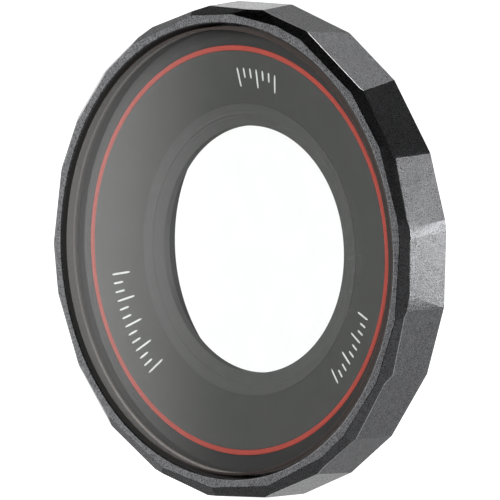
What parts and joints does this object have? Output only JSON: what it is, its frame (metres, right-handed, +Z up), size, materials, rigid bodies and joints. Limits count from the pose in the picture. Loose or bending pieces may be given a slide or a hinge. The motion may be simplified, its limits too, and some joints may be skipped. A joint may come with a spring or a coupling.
{
  "type": "glass lens cover",
  "caption": "Round twist-on glass lens cover: faceted aluminium bezel, flush bevelled window, dished black mask with a red ring, and a rear bayonet collar with seals.",
  "frame": {"origin": "on the optical axis in the rear seat plane, where the bezel lands on the camera", "axes": "+Y along the optical axis towards the camera, so the glass faces -Y; +Z up when the marks are upright; +X to the right seen from the front"},
  "size_m": [0.0415, 0.0082, 0.0413],
  "materials": {
    "bezel_aluminium": "bead-blasted, dark grey anodised",
    "clear_glass": "polished, anti-reflection coated, ground bevel",
    "bond_black": "cured black adhesive",
    "mask_black": "satin black moulding",
    "baffle_black": "satin black moulding with fine light-trap steps",
    "accent_red": "satin red",
    "mark_white": null,
    "collar_black": "glass-filled nylon, fine spark texture",
    "rubber_black": "matt silicone",
    "steel": "passivated stainless steel"
  },
  "bodies": {
    "root": {"accent_ring": "accent_red", "baffle_ring": "baffle_black", "bayonet_ring": "collar_black", "bezel_ring": "bezel_aluminium", "collar_screw_1": "steel", "collar_screw_2": "steel", "collar_screw_3": "steel", "collar_screw_4": "steel", "collar_screw_5": "steel", "collar_screw_6": "steel", "cover_glass": "clear_glass", "glass_bond_ring": "bond_black", "lens_seal": "rubber_black", "mask_bond_ring": "bond_black", "mask_pin_1": "steel", "mask_pin_2": "steel", "mask_plate": "mask_black", "seat_o_ring": "rubber_black"}
  },
  "joints": []
}
